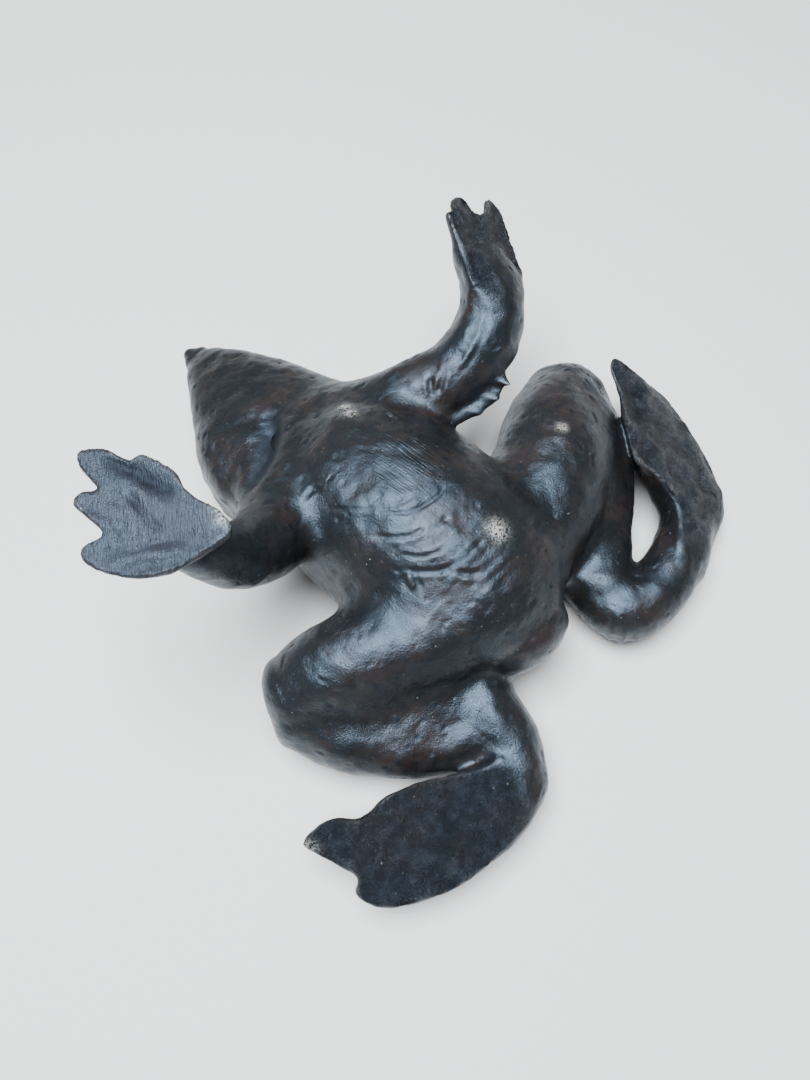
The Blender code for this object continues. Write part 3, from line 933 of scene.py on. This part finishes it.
def border_loops(faces):
    """Closed loops of vertices round the open edges of some faces, against their winding."""
    start = faces.ravel().astype(np.int64)
    end = np.roll(faces, -1, axis=1).ravel().astype(np.int64)
    count = faces.max() + 1
    alone = ~np.isin(start * count + end, end * count + start)
    following = {}
    for a, b in zip(start[alone].tolist(), end[alone].tolist()):
        following.setdefault(b, []).append(a)
    loops = []
    while following:
        here = next(iter(following))
        loop = []
        while here in following:
            loop.append(here)
            onward = following[here].pop()
            if not following[here]:
                del following[here]
            here = onward
        loops.append(loop)
    return loops


class Inside:
    """Keeps points inside the metal, by the grid of the blended field."""

    def __init__(self, field, low):
        self.field = field
        self.low = low

    def value(self, points):
        """The field at the points, between its grid points."""
        place = (points - self.low) / CELL
        last = np.array(self.field.shape) - 2
        cell = np.clip(np.floor(place).astype(int), 0, last)
        return between(self.field, cell, place - cell)

    def pushed(self, points, depth):
        """The points, moved until they lie at least this deep in the metal."""
        for step in range(PUSH_ROUNDS):
            value = self.value(points)
            slope = np.stack([self.value(points + CELL * side) - self.value(points - CELL * side)
                              for side in np.eye(3)], axis=1)
            slope /= np.maximum(np.linalg.norm(slope, axis=1), SMALL)[:, None]
            error = np.clip(value + depth, 0.0, None)
            points = points - slope * error[:, None] * PUSH_SHARE
        return points


def cap(loop, points, inside):
    """Rings of points from an open border towards its middle, and the faces that join them."""
    rim = points[loop]
    middle = rim.mean(0)
    added, polygons = [], []
    outer = list(loop)
    for share, depth in CAP_RINGS:
        start = len(points) + len(added)
        inner = list(range(start, start + len(loop)))
        added += list(inside.pushed(rim + share * (middle - rim), depth))
        ends = zip(outer, outer[1:] + outer[:1], inner[1:] + inner[:1], inner)
        polygons += [list(face) for face in ends]
        outer = inner
    hub = len(points) + len(added)
    added += list(inside.pushed(middle[None], CAP_RINGS[-1][1]))
    polygons += [[a, b, hub] for a, b in zip(outer, outer[1:] + outer[:1])]
    return np.array(added), polygons


def closed_share(vertices, normals, faces, inside):
    """A share of the skin with a cap over each open border: points, facings and polygons."""
    used, local = np.unique(faces, return_inverse=True)
    local = local.reshape(-1, 4)
    points = vertices[used]
    facing = normals[used]
    polygons = local.tolist()
    middle = points.mean(0)
    for loop in border_loops(local):
        added, more = cap(loop, points, inside)
        outward = unit(points[loop].mean(0) - middle)
        points = np.vstack([points, added])
        facing = np.vstack([facing, np.tile(outward, (len(added), 1))])
        polygons += more
    return used, points, facing, polygons


def build_piece(name, vertices, normals, faces, masks, inside):
    """A closed object from its share of the skin, with the masks as attributes."""
    used, points, facing, polygons = closed_share(vertices, normals, faces, inside)
    mesh = bpy.data.meshes.new(name)
    mesh.from_pydata(((points + PATTERN_SHIFT) * MM).tolist(), [], polygons)
    mesh.validate()
    mesh.shade_smooth()
    mesh.normals_split_custom_set_from_vertices(facing.tolist())
    for mask, values in masks.items():
        layer = mesh.attributes.new(mask, "FLOAT", "POINT")
        held = np.zeros(len(points), np.float32)
        held[:len(used)] = values[used]
        layer.data.foreach_set("value", held)
    return placed(name, mesh)


# ---- Finish ----

PATINA_DARK = (0.007, 0.007, 0.007, 1.0)
PATINA_BROWN = (0.016, 0.011, 0.009, 1.0)
# Black patina, also used as painted shade in grooves and pits.
PATINA_BLACK_AND_PAINTED_SHADE = (0.003, 0.003, 0.004, 1.0)
FILED_METAL = (0.026, 0.030, 0.038, 1.0)
COOL_SHEEN = (0.60, 0.79, 1.0, 1.0)
RUBBED_METAL = (0.150, 0.140, 0.125, 1.0)
PALE_SPECK = (0.420, 0.400, 0.350, 1.0)

# Noises: scale per mm, detail and roughness.
NOISES = {
    "broad": (0.13, 3.0, 0.55),
    "middle": (0.65, 3.0, 0.55),
    "patch": (0.6, 3.0, 0.55),
    "grain": (3.4, 4.0, 0.68),
    "speck": (2.1, 2.0, 0.5),
}
# Tints over the dark patina: the noises and masks that bring each in, the full share, the colour.
TINTS = (
    ((("broad", 0.45, 0.63),), 1.0, PATINA_BROWN),
    ((("middle", 0.48, 0.72),), 1.0, PATINA_BLACK_AND_PAINTED_SHADE),
    ((("coarse", 0.0, 1.0),), 0.6, PATINA_BLACK_AND_PAINTED_SHADE),
    ((("filed", 0.0, 1.0),), 0.70, FILED_METAL),
    ((("edge", 0.25, 0.85), ("grain", 0.42, 0.60)), 0.35, RUBBED_METAL),
    ((("speck", 0.72, 0.78), ("middle", 0.40, 0.60)), 0.5, PALE_SPECK),
    ((("worn", 0.0, 1.0), ("grain", 0.44, 0.58)), 0.85, PALE_SPECK),
    # Painted shade: black in grooves and pits, by their depth.
    ((("painted_shade_hollows", 0.0, 1.0),), 0.8, PATINA_BLACK_AND_PAINTED_SHADE),
)

# Mirror-like reflection, and what the soles lose of it. A coarse sole loses it in patches: the
# noise's range, and the share lost at either end.
SHEEN = 0.46
COARSE_SHEEN_LOSS = 0.32
FILED_SHEEN_LOSS = 0.26
PATCH_LIMITS = (0.94, 1.22, 1.0, 0.15)
# Roughness over the range of the middle noise, and what soles and cavities add to it.
ROUGHNESS_LIMITS = (0.3, 0.7, 0.26, 0.39)
COARSE_ROUGHNESS = -0.03
CAVITY_ROUGHNESS = 0.2
METALLIC = 0.10
PATINA_IOR = 1.56

# Fine lines: their turn in the plan view, how far they are drawn out, and the noise.
FILE_STROKES = (math.radians(-38.0), 11.0, (4.6, 2.0, 0.5))
BELLY_HATCH = (math.radians(6.0), 14.0, (3.6, 2.0, 0.5))
LINE_DEPTH_STRETCH = 3.0
# The bump's parts: fleck on coarse soles and everywhere, middle noise, strokes, and scratches.
COARSE_FLECK = 0.80
FLECK = 0.32
MIDDLE_BUMP = 0.30
COARSE_STROKES = 0.55
STROKE_BUMP = 0.75
HATCH_BUMP = 0.50
BUMP_STRENGTH = 0.8
BUMP_HEIGHT = 0.32 * MM


class Nodes:
    """Short ways to add and link shader nodes."""

    def __init__(self, name):
        self.material = bpy.data.materials.new(name)
        self.material.use_nodes = True
        self.tree = self.material.node_tree
        self.tree.nodes.clear()

    def add(self, kind, inputs, output=0, **settings):
        """The output of a new node whose inputs are values or other outputs."""
        node = self.tree.nodes.new("ShaderNode" + kind)
        for key, value in settings.items():
            setattr(node, key, value)
        for key, value in inputs.items():
            if isinstance(value, bpy.types.NodeSocket):
                self.tree.links.new(value, node.inputs[key])
            else:
                node.inputs[key].default_value = value
        return node.outputs[output] if len(node.outputs) else None

    def plus(self, a, b):
        return self.add("Math", {0: a, 1: b}, operation="ADD")

    def times(self, a, b):
        return self.add("Math", {0: a, 1: b}, operation="MULTIPLY")

    def ramp(self, value, low, high, start=0.0, end=1.0):
        return self.add("MapRange", {"Value": value, "From Min": low, "From Max": high,
                                     "To Min": start, "To Max": end})

    def mix(self, share, a, b):
        return self.add("Mix", {0: share, 6: a, 7: b}, 2, data_type="RGBA")

    def mask(self, name):
        return self.add("Attribute", {}, "Fac", attribute_name=name)

    def surface(self, inputs):
        """End the tree with one Principled shader."""
        self.add("OutputMaterial", {"Surface": self.add("BsdfPrincipled", inputs)})


class Patina(Nodes):
    """Dark brown-black patina, uneven in tint and gloss, with pale specks and a fine grain."""

    def __init__(self, name):
        super().__init__(name)
        place = self.add("TexCoord", {}, "Object")
        self.in_mm = self.add("VectorMath", {0: place, 3: 1.0 / MM}, operation="SCALE")
        self.held = {}
        self.surface({
            "Base Color": self.colour(),
            "Metallic": METALLIC,
            "IOR": PATINA_IOR,
            "Specular Tint": COOL_SHEEN,
            "Specular IOR Level": self.sheen(),
            "Roughness": self.gloss(),
            "Normal": self.relief(),
        })

    def noise(self, vector, scale, detail, roughness):
        return self.add("TexNoise", {"Vector": vector, "Scale": scale, "Detail": detail,
                                     "Roughness": roughness}, "Fac")

    def __getitem__(self, name):
        """A noise or a mask by name, made when it is first asked for."""
        if name not in self.held:
            noise = NOISES.get(name)
            self.held[name] = self.noise(self.in_mm, *noise) if noise else self.mask(name)
        return self.held[name]

    def lines(self, turn, stretch, noise):
        """Noise drawn out into fine lines."""
        scale = (1.0, stretch, LINE_DEPTH_STRETCH)
        drawn = self.add("Mapping", {"Vector": self.in_mm, "Scale": scale,
                                     "Rotation": (0.0, 0.0, turn)}, vector_type="TEXTURE")
        return self.noise(drawn, *noise)

    def colour(self):
        """Patina, rubbed on its edges, speckled, bare where it is worn, and with painted shade,
        black, in its grooves and pits.
        """
        colour = PATINA_DARK
        for causes, share, tint in TINTS:
            for name, low, high in causes:
                share = self.times(share, self.ramp(self[name], low, high))
            colour = self.mix(share, colour, tint)
        return colour

    def gloss(self):
        """Roughness, uneven all over and higher in the hollows."""
        gloss = self.ramp(self["middle"], *ROUGHNESS_LIMITS)
        gloss = self.plus(gloss, self.times(self["coarse"], COARSE_ROUGHNESS))
        return self.plus(gloss, self.times(self["painted_shade_hollows"], CAVITY_ROUGHNESS))

    def sheen(self):
        """Reflection, weaker on the filed palm and in patches on the other soles."""
        patches = self.plus(self["patch"], self["grain"])
        dull = self.times(self["coarse"], self.ramp(patches, *PATCH_LIMITS))
        sheen = self.plus(SHEEN, self.times(dull, -COARSE_SHEEN_LOSS))
        return self.plus(sheen, self.times(self["filed"], -FILED_SHEEN_LOSS))

    def relief(self):
        """Bump of the fine grain, the file's strokes and the belly's scratches."""
        soles = self.plus(self["filed"], self.times(self["coarse"], COARSE_STROKES))
        strokes = self.times(soles, self.lines(*FILE_STROKES))
        hatch = self.times(self["scratched"], self.lines(*BELLY_HATCH))
        fleck = self.plus(self.times(self["coarse"], COARSE_FLECK), FLECK)
        height = self.times(self["grain"], fleck)
        for part, share in ((self["middle"], MIDDLE_BUMP), (strokes, STROKE_BUMP),
                            (hatch, HATCH_BUMP)):
            height = self.plus(height, self.times(part, share))
        return self.add("Bump", {"Height": height, "Strength": BUMP_STRENGTH,
                                 "Distance": BUMP_HEIGHT}, "Normal")


# ---- Floor, light and camera ----

FLOOR_REACH = 1.5
FLOOR_COLOUR = (0.57, 0.55, 0.52, 1.0)
FLOOR_ROUGHNESS = 0.85
LOOK_AT = (0.8 * MM, 1.3 * MM, 0.0)
CAMERA_AZIMUTH = math.radians(134.0)
CAMERA_ELEVATION = math.radians(65.0)
CAMERA_DISTANCE = 150.0 * MM
CAMERA_LENS = 28.33
CAMERA_NEAR = 0.01
LIGHT_DIRECTION = (0.14, -0.04, 0.99)
LIGHT_DISTANCE = 0.50
LIGHT_SIZE = 0.34
LIGHT_POWER = 12.0
LIGHT_COLOUR = (0.86, 0.93, 1.0)
WORLD_COLOUR = (0.92, 0.94, 1.0, 1.0)
WORLD_STRENGTH = 0.16


def placed(name, data):
    """A new object in the scene."""
    obj = bpy.data.objects.new(name, data)
    bpy.context.scene.collection.objects.link(obj)
    return obj


def look(obj, target):
    """Turn a camera or lamp at its place to face the target."""
    away = Vector(target) - obj.location
    obj.rotation_euler = away.to_track_quat("-Z", "Y").to_euler()


def add_floor():
    pale = Nodes("floor_pale")
    pale.surface({"Base Color": FLOOR_COLOUR, "Roughness": FLOOR_ROUGHNESS})
    corners = [(x * FLOOR_REACH, y * FLOOR_REACH, 0.0)
               for x, y in ((-1, -1), (1, -1), (1, 1), (-1, 1))]
    mesh = bpy.data.meshes.new("floor")
    mesh.from_pydata(corners, [], [(0, 1, 2, 3)])
    mesh.materials.append(pale.material)
    floor = placed("floor", mesh)


def add_light():
    """A round softbox nearly overhead, and a dim, even surround."""
    lamp = bpy.data.lights.new("softbox", "AREA")
    lamp.shape = "DISK"
    lamp.size = LIGHT_SIZE
    lamp.energy = LIGHT_POWER
    lamp.color = LIGHT_COLOUR
    softbox = placed("softbox", lamp)
    softbox.location = Vector(LIGHT_DIRECTION).normalized() * LIGHT_DISTANCE
    look(softbox, LOOK_AT)
    world = bpy.data.worlds.new("studio")
    world.use_nodes = True
    background = world.node_tree.nodes["Background"]
    background.inputs["Color"].default_value = WORLD_COLOUR
    background.inputs["Strength"].default_value = WORLD_STRENGTH
    bpy.context.scene.world = world


def add_camera():
    lens = bpy.data.cameras.new("camera")
    lens.lens = CAMERA_LENS
    lens.clip_start = CAMERA_NEAR
    camera = placed("camera", lens)
    level = math.cos(CAMERA_ELEVATION)
    back = Vector((math.sin(CAMERA_AZIMUTH) * level, -math.cos(CAMERA_AZIMUTH) * level,
                   math.sin(CAMERA_ELEVATION)))
    camera.location = Vector(LOOK_AT) + back * CAMERA_DISTANCE
    look(camera, LOOK_AT)
    bpy.context.scene.camera = camera


# ---- Everything together ----

# The finish of a piece by the last word of its name.
SLOTS = {"torso": "worn_patina", "thigh": "worn_patina", "hand": "filed_sole",
         "foot": "filed_sole"}


def model_skin():
    """The finished skin: its vertices, normals, quads and masks, and what lies inside it."""
    shapes = single_shapes()
    field, low = grid_field(body_blends(shapes))
    mend(field)
    vertices, quads = surface_net(field, low)
    vertices = relax(vertices, quads)
    normals = vertex_normals(vertices, quads)
    move, masks = detail(vertices, normals, shapes)
    vertices = vertices + normals * move[:, None]
    vertices[:, 2] = np.maximum(vertices[:, 2], -PATTERN_SHIFT[2])
    normals = vertex_normals(vertices, quads)
    masks["edge"] = convexity(vertices, normals, quads)
    return vertices, normals, quads, masks, Inside(field, low)


def main():
    vertices, normals, quads, masks, inside = model_skin()
    names = sorted(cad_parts)
    owner = face_owner(vertices, quads, names)
    materials = {slot: Patina(slot).material for slot in ("patina", "worn_patina", "filed_sole")}
    for index, name in enumerate(names):
        faces = quads[owner == index]
        if not len(faces):
            raise ValueError("no skin lies nearest to " + name)
        piece = build_piece(name + "_skin", vertices, normals, faces, masks, inside)
        slot = SLOTS.get(name.split("_")[-1], "patina")
        piece.data.materials.append(materials[slot])
        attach(piece, "root")
        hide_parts(name)
    add_floor()
    add_light()
    add_camera()


main()
bpy.context.view_layer.update()
